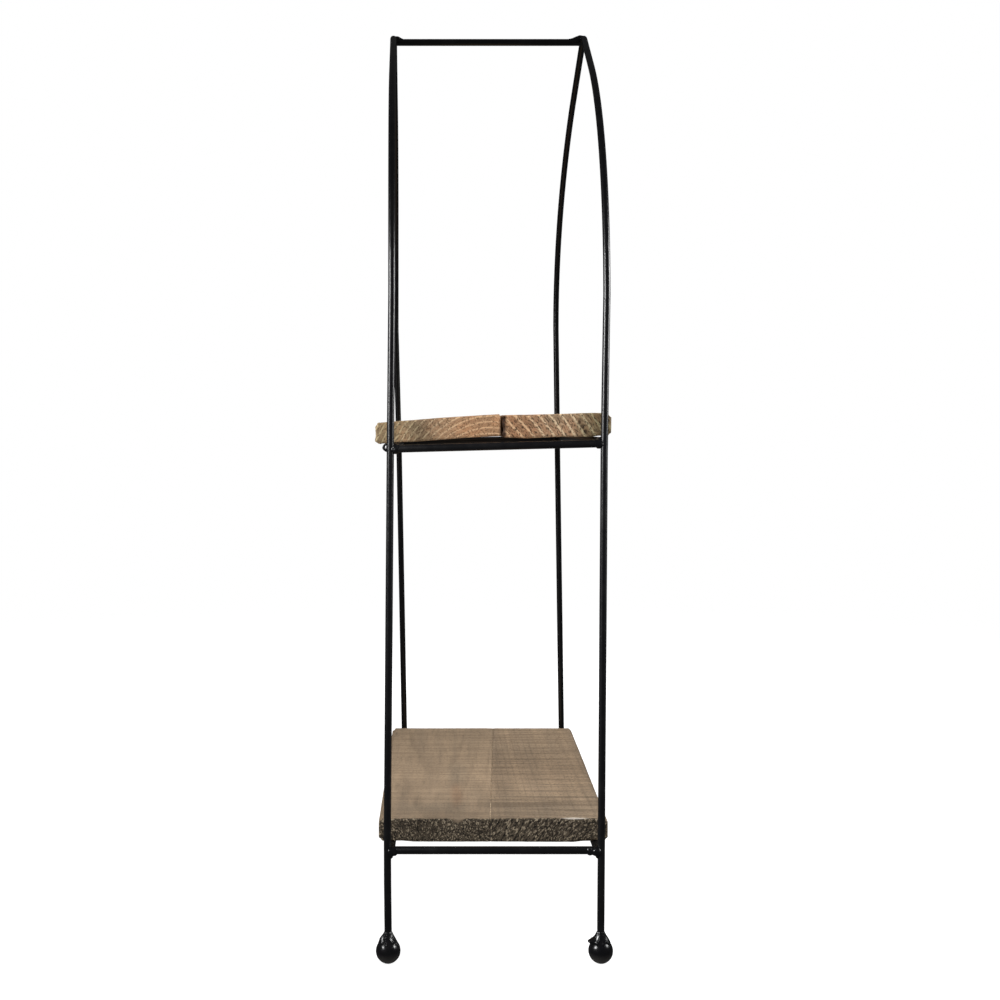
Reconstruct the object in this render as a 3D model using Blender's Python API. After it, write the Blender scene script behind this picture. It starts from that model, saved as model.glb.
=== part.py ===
"""Wire etagere: two pointed arches of bent rod, cross bars, shelf rails, ball feet and two plank shelves.

X runs from the left side to the right, Y from the near end to the far end, and Z up from the floor.
The origin is on the floor, under the middle of the part. All lengths are in metres.
"""

import math

import bmesh
import bpy
from mathutils import Vector

# Rod frame
ROD_DIAMETER = 0.006
LEG_PITCH = 0.382
LEG_STRAIGHT_HEIGHT = 0.57734
ARCH_RADIUS = 0.282
ARCH_TURN = math.radians(54.6)
APEX_BEND_RADIUS = 0.016
TOP_BAR_DROP = 0.0029

# Sideways spacing of the two arches at the floor, at the lower and upper welds, where the legs start to curve
# and at the top, and how far each pair of legs stands off the middle there. The frame is welded by hand: its
# legs bow a little at the welds, and it twists on its way up.
NEAR_FOOT_SPACING = 0.1834
NEAR_LOWER_SPACING = 0.1852
NEAR_UPPER_SPACING = 0.185
NEAR_SPRING_SPACING = 0.186
FAR_FOOT_SPACING = 0.181
FAR_LOWER_SPACING = 0.1818
FAR_UPPER_SPACING = 0.1835
FAR_SPRING_SPACING = 0.1855
APEX_SPACING = 0.1919
NEAR_FOOT_SHIFT = 0.0004
NEAR_LOWER_SHIFT = 0.0002
NEAR_UPPER_SHIFT = 0.0028
NEAR_SPRING_SHIFT = 0.0046
FAR_FOOT_SHIFT = 0.0015
FAR_LOWER_SHIFT = 0.0002
FAR_UPPER_SHIFT = -0.0055
FAR_SPRING_SHIFT = -0.0081
APEX_SHIFT = 0.0007

# Rods under the shelves, at their centre lines: the height of each level's cross bars at the left leg, how
# far the upper bars climb to the right leg, and how far each rail lies under or over the bars beside it.
LOWER_FRAME_HEIGHT = 0.0969
LOWER_RAIL_DROP = 0.0009
UPPER_FRAME_HEIGHT = 0.444
UPPER_BAR_CLIMB = 0.0048
UPPER_FAR_BAR_RISE = 0.0015
UPPER_LEFT_RAIL_RISE = 0.0015
UPPER_RIGHT_RAIL_RISE = 0.0022

# Each rail is welded to one side of its leg's centre line by this much.
RAIL_OFFSET = 0.003

# Shelves: clear of the legs at their ends, and wider than the legs stand apart.
SHELF_END_CLEARANCE = 0.014
LOWER_SHELF_OVERHANG = 0.0081
LOWER_JOINT_X = -0.0028
LOWER_JOINT_SLANT = 0.0142
LOWER_LEFT_EDGE_FLARE = 0.0031
LOWER_THICKNESS = 0.0189
UPPER_SHELF_OVERHANG = 0.0114
UPPER_JOINT_X = 0.0075
UPPER_JOINT_THICKNESS = 0.0182
UPPER_LEFT_EDGE_THICKNESS = 0.0178
UPPER_RIGHT_EDGE_THICKNESS = 0.0204
UPPER_LEFT_DROOP = math.radians(3.8)
UPPER_RIGHT_DROOP = math.radians(0.8)
UPPER_CUP = 0.0007
PLANK_EDGE_ROUND = 0.0022
PLANK_END_EASE = 0.0007

# Feet
BALL_DIAMETER = 0.021
BALL_FLAT_DEPTH = 0.0003
COLLAR_HEIGHT = 0.0068
COLLAR_FOOT_ANGLE = math.radians(58.4)
COLLAR_LIP = 0.0005
COLLAR_FLARE_POWER = 0.8

# Weld beads: how far each lump reaches past the rods that it joins.
CORNER_BEAD_LAP = 0.0027
APEX_BEAD_LAP = 0.002
APEX_BEAD_RUN = 0.0025

# Clearance between pieces that touch, rest or are cut round each other, and points taken as one
FIT_GAP = 0.0003
MERGE_DISTANCE = 0.000003

# Facet counts
ROD_BEVEL_RESOLUTION = 4
ARC_STEPS = 12
BEND_STEPS = 8
BALL_SEGMENTS = 20
BALL_RINGS = 12
COLLAR_STEPS = 5
CUP_STEPS = 6
BEAD_SUBDIVISIONS = 3

ROD_RADIUS = ROD_DIAMETER / 2
BALL_RADIUS = BALL_DIAMETER / 2
BALL_CENTRE_HEIGHT = BALL_RADIUS - BALL_FLAT_DEPTH
LEG_FOOT_HEIGHT = BALL_CENTRE_HEIGHT + BALL_RADIUS + FIT_GAP
HALF_PITCH = LEG_PITCH / 2
UPPER_FRAME_RIGHT_HEIGHT = UPPER_FRAME_HEIGHT + UPPER_BAR_CLIMB
SHELF_LENGTH = LEG_PITCH - ROD_DIAMETER - 2 * SHELF_END_CLEARANCE
LOWER_SHELF_WIDTH = NEAR_LOWER_SPACING + 2 * LOWER_SHELF_OVERHANG
UPPER_SHELF_WIDTH = NEAR_UPPER_SPACING + 2 * UPPER_SHELF_OVERHANG
SIDES = {"left": -1, "right": 1}
ENDS = {"near": -1, "far": 1}
FRAME_HEIGHTS = {
    ("lower", "near"): (LOWER_FRAME_HEIGHT, LOWER_FRAME_HEIGHT),
    ("lower", "far"): (LOWER_FRAME_HEIGHT, LOWER_FRAME_HEIGHT),
    ("upper", "near"): (UPPER_FRAME_HEIGHT, UPPER_FRAME_RIGHT_HEIGHT),
    ("upper", "far"): (UPPER_FRAME_HEIGHT + UPPER_FAR_BAR_RISE, UPPER_FRAME_RIGHT_HEIGHT + UPPER_FAR_BAR_RISE),
}
LEG_STATIONS = {
    "near": (
        (0, NEAR_FOOT_SPACING, NEAR_FOOT_SHIFT),
        (LOWER_FRAME_HEIGHT, NEAR_LOWER_SPACING, NEAR_LOWER_SHIFT),
        (UPPER_FRAME_HEIGHT, NEAR_UPPER_SPACING, NEAR_UPPER_SHIFT),
        (LEG_STRAIGHT_HEIGHT, NEAR_SPRING_SPACING, NEAR_SPRING_SHIFT),
    ),
    "far": (
        (0, FAR_FOOT_SPACING, FAR_FOOT_SHIFT),
        (LOWER_FRAME_HEIGHT, FAR_LOWER_SPACING, FAR_LOWER_SHIFT),
        (UPPER_FRAME_HEIGHT, FAR_UPPER_SPACING, FAR_UPPER_SHIFT),
        (LEG_STRAIGHT_HEIGHT, FAR_SPRING_SPACING, FAR_SPRING_SHIFT),
    ),
}


def clear_scene():
    for obj in list(bpy.data.objects):
        bpy.data.objects.remove(obj, do_unlink=True)


def make_material(name, colour, roughness, metallic):
    material = bpy.data.materials.new(name)
    material.use_nodes = True
    shader = material.node_tree.nodes["Principled BSDF"]
    shader.inputs["Base Color"].default_value = (*colour, 1.0)
    shader.inputs["Roughness"].default_value = roughness
    shader.inputs["Metallic"].default_value = metallic
    return material


def place(name, data, material, parent, location=(0, 0, 0), tilt=0.0):
    """Add a node: its data, its finish and its place under the parent empty."""
    obj = bpy.data.objects.new(name, data)
    bpy.context.scene.collection.objects.link(obj)
    obj.location = location
    obj.rotation_euler = (0, tilt, 0)
    obj.parent = parent
    if not data.materials:
        data.materials.append(material)
    return obj


def tail_length():
    """Straight run between the end of the big arc and the apex bend."""
    arc_reach = ARCH_RADIUS * (1 - math.cos(ARCH_TURN))
    bend_reach = APEX_BEND_RADIUS * math.cos(ARCH_TURN)
    return (HALF_PITCH - arc_reach - bend_reach) / math.sin(ARCH_TURN)


def apex_height():
    """Height of the rod's centre line at the point of the arch."""
    arc_rise = ARCH_RADIUS * math.sin(ARCH_TURN)
    tail_rise = tail_length() * math.cos(ARCH_TURN)
    bend_rise = APEX_BEND_RADIUS * (1 - math.sin(ARCH_TURN))
    return LEG_STRAIGHT_HEIGHT + arc_rise + tail_rise + bend_rise


def half_arch_profile():
    """Distance from mid depth and height of points on half an arch, from the foot up to the apex."""
    points = [(HALF_PITCH, height) for height in (LEG_FOOT_HEIGHT, LOWER_FRAME_HEIGHT, UPPER_FRAME_HEIGHT)]
    for step in range(ARC_STEPS + 1):
        turn = ARCH_TURN * step / ARC_STEPS
        reach = HALF_PITCH - ARCH_RADIUS * (1 - math.cos(turn))
        points.append((reach, LEG_STRAIGHT_HEIGHT + ARCH_RADIUS * math.sin(turn)))
    bend_centre = apex_height() - APEX_BEND_RADIUS
    for step in range(BEND_STEPS // 2 + 1):
        angle = (math.pi / 2 - ARCH_TURN) * (1 - 2 * step / BEND_STEPS)
        reach = APEX_BEND_RADIUS * math.sin(angle)
        points.append((reach, bend_centre + APEX_BEND_RADIUS * math.cos(angle)))
    return points


def leg_x(end, side, height):
    """Sideways place of a leg's centre line: straight between its stations, then curving to the apex."""
    places = [(level, shift + SIDES[side] * spacing / 2) for level, spacing, shift in LEG_STATIONS[end]]
    for (low, low_x), (high, high_x) in zip(places, places[1:]):
        if height <= high:
            return low_x + (high_x - low_x) * (height - low) / (high - low)
    spring_x = places[-1][1]
    apex_x = APEX_SHIFT + SIDES[side] * APEX_SPACING / 2
    climb = (height - LEG_STRAIGHT_HEIGHT) / (apex_height() - LEG_STRAIGHT_HEIGHT)
    return spring_x + (apex_x - spring_x) * climb**2


def arch_points(side):
    """Centre line of one arch: near foot, apex, far foot."""
    profile = half_arch_profile()
    near = [Vector((leg_x("near", side, z), -y, z)) for y, z in profile]
    far = [Vector((leg_x("far", side, z), y, z)) for y, z in profile]
    return near + far[-2::-1]


def rod_curve(name, points, radius=ROD_RADIUS):
    """Round rod along a centre line, with flat sawn ends."""
    curve = bpy.data.curves.new(name, "CURVE")
    curve.dimensions = "3D"
    curve.bevel_depth = radius
    curve.bevel_resolution = ROD_BEVEL_RESOLUTION
    curve.use_fill_caps = True
    spline = curve.splines.new("POLY")
    spline.points.add(len(points) - 1)
    for place_on_spline, point in zip(spline.points, points):
        place_on_spline.co = (*point, 1.0)
    return curve


def stretched(points, reach):
    """The same straight centre line, longer by reach at both ends."""
    start, end = points
    along = (end - start).normalized()
    return [start - along * reach, end + along * reach]


def bar_points(end, left_height, right_height):
    """Centre line of a cross bar from the left leg to the right leg of one end."""
    y = ENDS[end] * HALF_PITCH
    left = Vector((leg_x(end, "left", left_height), y, left_height))
    right = Vector((leg_x(end, "right", right_height), y, right_height))
    return stretched([left, right], -(ROD_RADIUS + FIT_GAP))


def rail_points(side, height, near_offset, far_offset):
    """Centre line of a shelf rail, which butts the inner faces of a near leg and a far leg."""
    reach = HALF_PITCH - ROD_RADIUS - FIT_GAP
    near = Vector((leg_x("near", side, height) + near_offset, -reach, height))
    far = Vector((leg_x("far", side, height) + far_offset, reach, height))
    return [near, far]


def cutter(name, points, collection):
    """Wire guide that clears a rod's room out of the weld beads."""
    curve = rod_curve(name, points, ROD_RADIUS + FIT_GAP)
    source = bpy.data.objects.new(name + "_centre_line", curve)
    bpy.context.scene.collection.objects.link(source)
    bpy.context.view_layer.update()
    graph = bpy.context.evaluated_depsgraph_get()
    mesh = bpy.data.meshes.new_from_object(source.evaluated_get(graph))
    bpy.data.objects.remove(source, do_unlink=True)
    shape = bmesh.new()
    shape.from_mesh(mesh)
    bmesh.ops.remove_doubles(shape, verts=shape.verts, dist=MERGE_DISTANCE)
    bmesh.ops.recalc_face_normals(shape, faces=shape.faces)
    shape.to_mesh(mesh)
    shape.free()
    guide = bpy.data.objects.new(name, mesh)
    collection.objects.link(guide)
    guide.hide_render = True
    guide.display_type = "WIRE"
    return guide


def finish_mesh(shape, name, smooth_angle):
    """Close a bmesh into a mesh with outward faces, smooth up to the given angle."""
    bmesh.ops.recalc_face_normals(shape, faces=shape.faces)
    mesh = bpy.data.meshes.new(name)
    shape.to_mesh(mesh)
    shape.free()
    mesh.shade_smooth()
    mesh.set_sharp_from_angle(angle=smooth_angle)
    return mesh


def ball_mesh():
    """Solid steel ball with a small worn flat that stands on the floor."""
    shape = bmesh.new()
    bmesh.ops.create_uvsphere(shape, u_segments=BALL_SEGMENTS, v_segments=BALL_RINGS, radius=BALL_RADIUS)
    ball = shape.verts[:] + shape.edges[:] + shape.faces[:]
    floor = (0, 0, -BALL_CENTRE_HEIGHT)
    cut = bmesh.ops.bisect_plane(shape, geom=ball, plane_co=floor, plane_no=(0, 0, -1), clear_outer=True)
    rim = [item for item in cut["geom_cut"] if isinstance(item, bmesh.types.BMEdge)]
    bmesh.ops.contextual_create(shape, geom=rim)
    return finish_mesh(shape, "ball_foot", math.radians(40))


def collar_profile():
    """Radius and height over the ball's centre of the collar: down its outside, back along the ball."""
    bore = ROD_RADIUS + FIT_GAP
    seat_radius = BALL_RADIUS + FIT_GAP
    foot_radius = seat_radius * math.sin(COLLAR_FOOT_ANGLE)
    foot = seat_radius * math.cos(COLLAR_FOOT_ANGLE)
    top = BALL_RADIUS + COLLAR_HEIGHT
    lip = bore + COLLAR_LIP
    points = [(bore, top)]
    for step in range(COLLAR_STEPS + 1):
        share = step / COLLAR_STEPS
        radius = lip + (foot_radius - lip) * share**COLLAR_FLARE_POWER
        points.append((radius, top + (foot - top) * share))
    for step in range(1, COLLAR_STEPS + 1):
        radius = foot_radius + (bore - foot_radius) * step / COLLAR_STEPS
        points.append((radius, math.sqrt(seat_radius**2 - radius**2)))
    return points


def collar_mesh():
    """Weld collar: its outline turned about the leg to a closed ring on top of a ball."""
    shape = bmesh.new()
    rings = []
    for step in range(BALL_SEGMENTS):
        angle = 2 * math.pi * step / BALL_SEGMENTS
        turned = [(radius * math.cos(angle), radius * math.sin(angle), z) for radius, z in collar_profile()]
        rings.append([shape.verts.new(point) for point in turned])
    for step, ring in enumerate(rings):
        following = rings[(step + 1) % BALL_SEGMENTS]
        for here in range(len(ring)):
            after = (here + 1) % len(ring)
            shape.faces.new((ring[here], ring[after], following[after], following[here]))
    return finish_mesh(shape, "foot_weld", math.radians(50))


def bead_mesh(name, radii):
    """Rounded lump of weld metal, before the rods' room is cut out of it."""
    shape = bmesh.new()
    bmesh.ops.create_icosphere(shape, subdivisions=BEAD_SUBDIVISIONS, radius=1)
    bmesh.ops.scale(shape, vec=radii, verts=shape.verts)
    return finish_mesh(shape, name, math.radians(50))


def cut_rods_out(obj, collection):
    cut = obj.modifiers.new("rods", "BOOLEAN")
    cut.operation = "DIFFERENCE"
    cut.solver = "EXACT"
    cut.operand_type = "COLLECTION"
    cut.collection = collection


def plank_mesh(name, side, width, joint_thickness, edge_thickness, cup):
    """Plank with its glued edge at local X 0, its underside there at Z 0, and its outer edges eased."""
    section = []
    for step in range(CUP_STEPS + 1):
        share = step / CUP_STEPS
        bow = 4 * cup * share * (1 - share)
        thickness = joint_thickness + (edge_thickness - joint_thickness) * share
        section.append((share * width, bow, bow + thickness))
    outline = [(x, low) for x, low, high in section] + [(x, high) for x, low, high in reversed(section)]
    shape = bmesh.new()
    corners = [shape.verts.new((SIDES[side] * x, -SHELF_LENGTH / 2, z)) for x, z in outline]
    grown = bmesh.ops.extrude_face_region(shape, geom=[shape.faces.new(corners)])
    moved = [item for item in grown["geom"] if isinstance(item, bmesh.types.BMVert)]
    bmesh.ops.translate(shape, verts=moved, vec=(0, SHELF_LENGTH, 0))

    def at_outer_edge(vert):
        return abs(vert.co.x) > width - PLANK_END_EASE

    def at_joint(vert):
        return abs(vert.co.x) < PLANK_END_EASE

    def runs_along(edge):
        return edge.calc_length() > SHELF_LENGTH / 2 and abs(edge.verts[0].co.y - edge.verts[1].co.y) > 0

    outer = [edge for edge in shape.edges if runs_along(edge) and all(map(at_outer_edge, edge.verts))]
    bmesh.ops.bevel(shape, geom=outer, offset=PLANK_EDGE_ROUND, segments=3, affect="EDGES")
    ends = [edge for edge in shape.edges if not runs_along(edge) and not all(map(at_joint, edge.verts))]
    bmesh.ops.bevel(shape, geom=ends, offset=PLANK_END_EASE, segments=1, affect="EDGES")
    return finish_mesh(shape, name, math.radians(30))


def plank_width(side, shelf_width, joint_x, edge_thickness, droop):
    """Width of a plank from its joint, so that its drooping outer edge reaches half the shelf's width."""
    reach = shelf_width / 2 - SIDES[side] * joint_x
    corner = edge_thickness - PLANK_EDGE_ROUND
    return (reach - PLANK_EDGE_ROUND - corner * math.sin(droop)) / math.cos(droop) + PLANK_EDGE_ROUND


def plank_seat(rail, joint_x, droop):
    """Height of a plank's underside at the joint, so that it rests on the higher end of its rail."""
    rest = (ROD_RADIUS + FIT_GAP) / math.cos(droop)
    return max(point.z + rest + math.tan(droop) * abs(point.x - joint_x) for point in rail)


def skew_plank(mesh, width, joint_slant, edge_slant):
    """Move a plank's edges sideways towards its far end, which makes it wider or narrower there."""
    for vert in mesh.vertices:
        along = vert.co.y / SHELF_LENGTH + 0.5
        across = abs(vert.co.x) / width
        vert.co.x += along * (joint_slant * (1 - across) + edge_slant * across)


def add_plank(level, side, shelf_width, joint, thicknesses, droop, cup, slants, wood):
    """Plank of a shelf, laid on its rail. Its thicknesses and slants are those at its joint and outer edge."""
    name = f"{level}_shelf_{side}_plank"
    joint_thickness, edge_thickness = thicknesses
    joint_x = joint + SIDES[side] * FIT_GAP / 2
    width = plank_width(side, shelf_width, joint_x, edge_thickness, droop)
    mesh = plank_mesh(name, side, width, joint_thickness, edge_thickness, cup)
    skew_plank(mesh, width, *slants)
    seat = plank_seat(RAILS[f"{level}_{side}_rail"], joint_x, droop)
    place(name, mesh, wood, etagere, (joint_x, 0, seat), SIDES[side] * droop)


clear_scene()
SATIN_BLACK = make_material("satin_black_paint", (0.012, 0.012, 0.013), 0.35, 0.0)
GLOSS_BLACK = make_material("gloss_black_paint", (0.010, 0.010, 0.012), 0.18, 0.0)
GREY_BROWN_WOOD = make_material("grey_brown_wood", (0.27, 0.19, 0.13), 0.85, 0.0)
WARM_BROWN_WOOD = make_material("warm_brown_wood", (0.38, 0.25, 0.15), 0.85, 0.0)

etagere = bpy.data.objects.new("etagere", None)
bpy.context.scene.collection.objects.link(etagere)
lower_room = bpy.data.collections.new("lower_rod_room")
upper_room = bpy.data.collections.new("upper_rod_room")
apex_room = bpy.data.collections.new("apex_rod_room")
for room in (lower_room, upper_room, apex_room):
    bpy.context.scene.collection.children.link(room)

# The two arches, each one bent rod, and the bar that joins their apexes
for side in SIDES:
    name = side + "_arch"
    points = arch_points(side)
    place(name, rod_curve(name, points), SATIN_BLACK, etagere)
    guide = cutter(name + "_room", points, lower_room)
    upper_room.objects.link(guide)
    apex_room.objects.link(guide)

top_bar_height = apex_height() - TOP_BAR_DROP
apex_points = []
for side in SIDES:
    inward = -SIDES[side] * (ROD_RADIUS + FIT_GAP)
    apex_points.append(Vector((leg_x("near", side, apex_height()) + inward, 0, top_bar_height)))
place("top_bar", rod_curve("top_bar", apex_points), SATIN_BLACK, etagere)
cutter("top_bar_room", stretched(apex_points, ROD_RADIUS), apex_room)

# Cross bars between the legs of each end, one under each shelf
for (level, end), (left, right) in FRAME_HEIGHTS.items():
    name = f"{level}_{end}_bar"
    points = bar_points(end, left, right)
    place(name, rod_curve(name, points), SATIN_BLACK, etagere)
    cutter(name + "_room", stretched(points, ROD_RADIUS), lower_room if level == "lower" else upper_room)

# Rails that carry the shelves. The lower pair lies inside the legs. The twist of the frame puts the upper
# pair to the left of the near legs and to the right of the far legs.
lower_rail_height = LOWER_FRAME_HEIGHT - LOWER_RAIL_DROP
upper_left_rail_height = UPPER_FRAME_HEIGHT + UPPER_LEFT_RAIL_RISE
upper_right_rail_height = UPPER_FRAME_RIGHT_HEIGHT + UPPER_RIGHT_RAIL_RISE
RAILS = {
    "lower_left_rail": rail_points("left", lower_rail_height, RAIL_OFFSET, RAIL_OFFSET),
    "lower_right_rail": rail_points("right", lower_rail_height, -RAIL_OFFSET, -RAIL_OFFSET),
    "upper_left_rail": rail_points("left", upper_left_rail_height, -RAIL_OFFSET, RAIL_OFFSET),
    "upper_right_rail": rail_points("right", upper_right_rail_height, -RAIL_OFFSET, RAIL_OFFSET),
}
for name, points in RAILS.items():
    place(name, rod_curve(name, points), SATIN_BLACK, etagere)
    cutter(name + "_room", stretched(points, ROD_RADIUS), lower_room if "lower" in name else upper_room)

# Ball feet, each with the weld collar that holds it on its leg
ball = ball_mesh()
collar = collar_mesh()
for end in ENDS:
    for side in SIDES:
        centre = Vector((leg_x(end, side, LEG_FOOT_HEIGHT), ENDS[end] * HALF_PITCH, BALL_CENTRE_HEIGHT))
        place(f"{end}_{side}_foot", ball, GLOSS_BLACK, etagere, centre)
        place(f"{end}_{side}_foot_weld", collar, GLOSS_BLACK, etagere, centre)

# Weld beads at the four corners under each shelf
corner_bead_radius = ROD_RADIUS + CORNER_BEAD_LAP
for (level, end), heights in FRAME_HEIGHTS.items():
    for side, height in zip(SIDES, heights):
        name = f"{level}_{end}_{side}_weld"
        x = leg_x(end, side, height) - SIDES[side] * ROD_RADIUS
        y = ENDS[end] * (HALF_PITCH - ROD_RADIUS)
        bead = bead_mesh(name, (corner_bead_radius, corner_bead_radius, corner_bead_radius))
        room = lower_room if level == "lower" else upper_room
        cut_rods_out(place(name, bead, GLOSS_BLACK, etagere, (x, y, height)), room)

# Weld beads at the ends of the top bar
apex_bead_radius = ROD_RADIUS + APEX_BEAD_LAP
apex_bead_reach = ROD_DIAMETER + APEX_BEAD_RUN
for side in SIDES:
    name = f"apex_{side}_weld"
    x = leg_x("near", side, apex_height()) - SIDES[side] * ROD_RADIUS
    bead = bead_mesh(name, (apex_bead_reach, apex_bead_radius, apex_bead_radius))
    middle = (x, 0, (apex_height() + top_bar_height) / 2)
    cut_rods_out(place(name, bead, GLOSS_BLACK, etagere, middle), apex_room)

# The shelves, each of two planks: the lower one flat, with a joint that runs off square, the upper one meeting
# in a low ridge
for side, edge_thickness, droop, lower_slants in (
    ("left", UPPER_LEFT_EDGE_THICKNESS, UPPER_LEFT_DROOP, (LOWER_JOINT_SLANT, -LOWER_LEFT_EDGE_FLARE)),
    ("right", UPPER_RIGHT_EDGE_THICKNESS, UPPER_RIGHT_DROOP, (LOWER_JOINT_SLANT, 0)),
):
    flat = (LOWER_THICKNESS, LOWER_THICKNESS)
    sloping = (UPPER_JOINT_THICKNESS, edge_thickness)
    add_plank("lower", side, LOWER_SHELF_WIDTH, LOWER_JOINT_X, flat, 0, 0, lower_slants, GREY_BROWN_WOOD)
    add_plank("upper", side, UPPER_SHELF_WIDTH, UPPER_JOINT_X, sloping, droop, UPPER_CUP, (0, 0), WARM_BROWN_WOOD)
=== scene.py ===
import math

import bpy
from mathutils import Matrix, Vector, noise


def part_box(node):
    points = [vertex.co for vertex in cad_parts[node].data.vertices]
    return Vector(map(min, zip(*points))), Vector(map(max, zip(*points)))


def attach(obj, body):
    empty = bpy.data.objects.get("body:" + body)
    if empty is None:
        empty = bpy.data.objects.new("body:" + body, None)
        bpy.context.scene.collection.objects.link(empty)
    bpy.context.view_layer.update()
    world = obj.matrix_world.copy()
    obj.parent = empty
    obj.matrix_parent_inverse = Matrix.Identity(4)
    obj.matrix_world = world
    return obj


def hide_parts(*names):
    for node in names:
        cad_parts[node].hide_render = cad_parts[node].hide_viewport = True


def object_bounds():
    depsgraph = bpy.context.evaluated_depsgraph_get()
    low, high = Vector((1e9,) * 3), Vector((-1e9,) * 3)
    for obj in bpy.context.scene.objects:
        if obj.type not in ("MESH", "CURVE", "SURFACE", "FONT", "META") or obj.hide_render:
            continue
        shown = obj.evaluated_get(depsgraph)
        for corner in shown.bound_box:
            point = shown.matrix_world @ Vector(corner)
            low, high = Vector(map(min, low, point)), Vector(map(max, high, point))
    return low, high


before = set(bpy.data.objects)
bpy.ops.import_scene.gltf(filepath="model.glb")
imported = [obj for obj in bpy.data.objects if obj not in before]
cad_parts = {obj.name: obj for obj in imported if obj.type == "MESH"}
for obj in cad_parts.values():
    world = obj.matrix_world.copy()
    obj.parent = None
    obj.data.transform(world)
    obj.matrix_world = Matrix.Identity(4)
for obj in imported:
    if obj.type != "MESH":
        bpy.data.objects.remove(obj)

cad_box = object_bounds()

# The two side arches. Each is one 6 mm steel rod, bent cold round a former into two straight legs, two wide
# arcs and a tight bend at the point. The whole welded frame was sprayed satin black.
SIDES = {"left": -1, "right": 1}
ENDS = {"near": -1, "far": 1}
ROD_RADIUS = (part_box("top_bar")[1].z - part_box("top_bar")[0].z) / 2
ROD_FACETS = 32
LEG_PIECES = 12
LEG_STRAIGHT_HEIGHT = 0.57734
ARCH_RADIUS = 0.282
ARCH_TURN = math.radians(54.6)
ARC_STEPS = 28
APEX_BEND_RADIUS = 0.016
BEND_STEPS = 14
SHARP_ANGLE = math.radians(50)
MERGE_DISTANCE = 0.000002
PAINT_COAT = 0.0002

# The points of a CAD leg lie in rings. They are told apart by height, in steps of so many rod radii.
RING_SPACING = 4

# The paint: its colours, how rough and how deep its peel is, and how high and how thick the dust and painted
# floor reflection lie on it.
BLACK_COAT = (0.0035, 0.0035, 0.0045, 1)
GREY_BLOOM = (0.007, 0.007, 0.0078, 1)
# The lighter grey-brown low down is dust and a painted reflection of the floor.
FLOOR_DUST_AND_REFLECTION = (0.07, 0.065, 0.06, 1)
SATIN_ROUGHNESS = 0.3
SATIN_PEEL = 0.00012
ROUGHNESS_SPREAD = 0.1
PEEL_SHARE = 0.3
BLOOM_LEVELS = (0.45, 0.75)
DUST_AND_REFLECTION_HEIGHTS = (0.001, 0.0115)
DUST_AND_REFLECTION_EVEN = 0.6
DUST_AND_REFLECTION_PATCHY = 0.4

# The paint's noises: patches per metre, and detail.
PAINT_NOISES = {"bloom": (60, 3), "dust_and_reflection": (300, 2), "roughness": (240, 3), "runs": (90, 1), "peel": (700, 2)}


class Tone:
    """A value or colour that changes over a surface. Sums and products add the nodes that give them."""

    def __init__(self, socket):
        self.socket = socket

    def node(self, kind, sockets, output=0, **settings):
        """Add a node: its settings first, then each socket's value or the tone that feeds it."""
        tree = self.socket.id_data
        made = tree.nodes.new(kind)
        for name, value in settings.items():
            setattr(made, name, value)
        for name, value in sockets.items():
            if isinstance(value, Tone):
                tree.links.new(value.socket, made.inputs[name])
            else:
                made.inputs[name].default_value = value
        return Tone(made.outputs[output])

    def maths(self, operation, first, second):
        return self.node("ShaderNodeMath", {0: first, 1: second}, operation=operation)

    def __add__(self, other):
        return self.maths("ADD", self, other)

    def __radd__(self, other):
        return self.maths("ADD", other, self)

    def __sub__(self, other):
        return self.maths("SUBTRACT", self, other)

    def __rsub__(self, other):
        return self.maths("SUBTRACT", other, self)

    def __mul__(self, other):
        return self.maths("MULTIPLY", self, other)

    def __rmul__(self, other):
        return self.maths("MULTIPLY", other, self)

    def __truediv__(self, other):
        return self.maths("DIVIDE", self, other)


def new_finish(name, roughness):
    """A material with its shader and the place on the object as a tone."""
    material = bpy.data.materials.new(name)
    material.use_nodes = True
    shader = material.node_tree.nodes["Principled BSDF"]
    shader.inputs["Roughness"].default_value = roughness
    place = Tone(material.node_tree.nodes.new("ShaderNodeTexCoord").outputs["Object"])
    return material, shader, place


def feed(tone, shader, socket):
    shader.id_data.links.new(tone.socket, shader.inputs[socket])


def along(place, axis):
    """How far a place lies along one axis."""
    return place.node("ShaderNodeSeparateXYZ", {0: place}, output=axis)


def cloud(place, per_metre, detail, roughness=0.5):
    """Noise of about 0 to 1, with so many patches to a metre."""
    return place.node(
        "ShaderNodeTexNoise", {"Vector": place, "Scale": per_metre, "Detail": detail, "Roughness": roughness}
    )


def wander(place, per_metre, detail, roughness=0.5):
    """Noise to either side of nothing, of about -0.5 to 0.5."""
    return cloud(place, per_metre, detail, roughness) - 0.5


def ramp(tone, low, high):
    """0 below low, 1 above high, smooth between."""
    sockets = {"Value": tone, "From Min": low, "From Max": high}
    return tone.node("ShaderNodeMapRange", sockets, interpolation_type="SMOOTHSTEP")


def mixed(factor, first, second, blend="MIX"):
    """A colour between two colours, or the first one tinted by the second."""
    colours = {0: factor, 6: first, 7: second}
    return factor.node("ShaderNodeMix", colours, output=2, data_type="RGBA", blend_type=blend)


def relief(tone, shader, depth, strength=1.0):
    """Bump from a height tone, whose 0 to 1 stands for depth metres."""
    bump = tone.node("ShaderNodeBump", {"Strength": strength, "Distance": depth, "Height": tone})
    feed(bump, shader, "Normal")


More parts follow.
